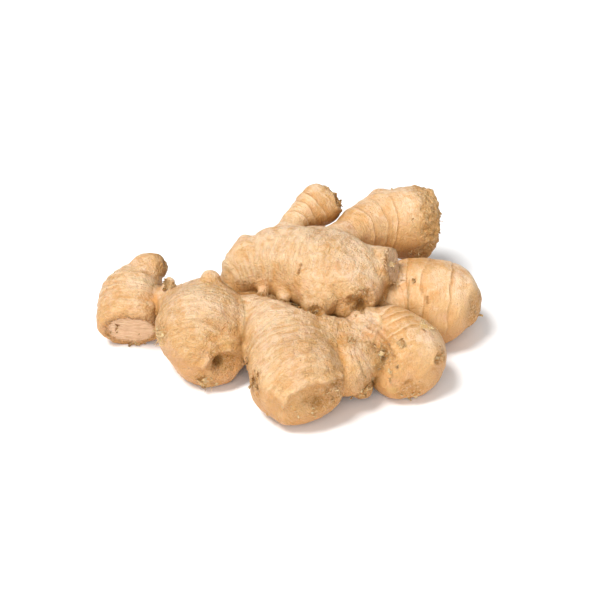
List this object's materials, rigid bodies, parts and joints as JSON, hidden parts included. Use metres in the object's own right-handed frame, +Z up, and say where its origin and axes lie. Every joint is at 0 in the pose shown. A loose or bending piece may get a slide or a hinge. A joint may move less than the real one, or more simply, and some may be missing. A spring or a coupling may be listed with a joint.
{
  "type": "ginger root",
  "caption": "Hand of fresh ginger: one knobbly rhizome of thick ringed fingers, a cut end, stem scars, buds and corky tips, lying on its lowest lobes.",
  "frame": {"origin": "on the surface it lies on, under the middle of its bounding box", "axes": "+X along its longest extent, from the cut knob towards the two right lobes; -Y towards the front lobe; +Z up"},
  "size_m": [0.1694, 0.1289, 0.0554],
  "materials": {
    "ginger_skin": "thin dry papery skin, pale tan, slightly satin, with darker brown ring lips, scars and corky tips"
  },
  "bodies": {
    "root": {"ginger_rhizome": "ginger_skin"}
  },
  "joints": []
}
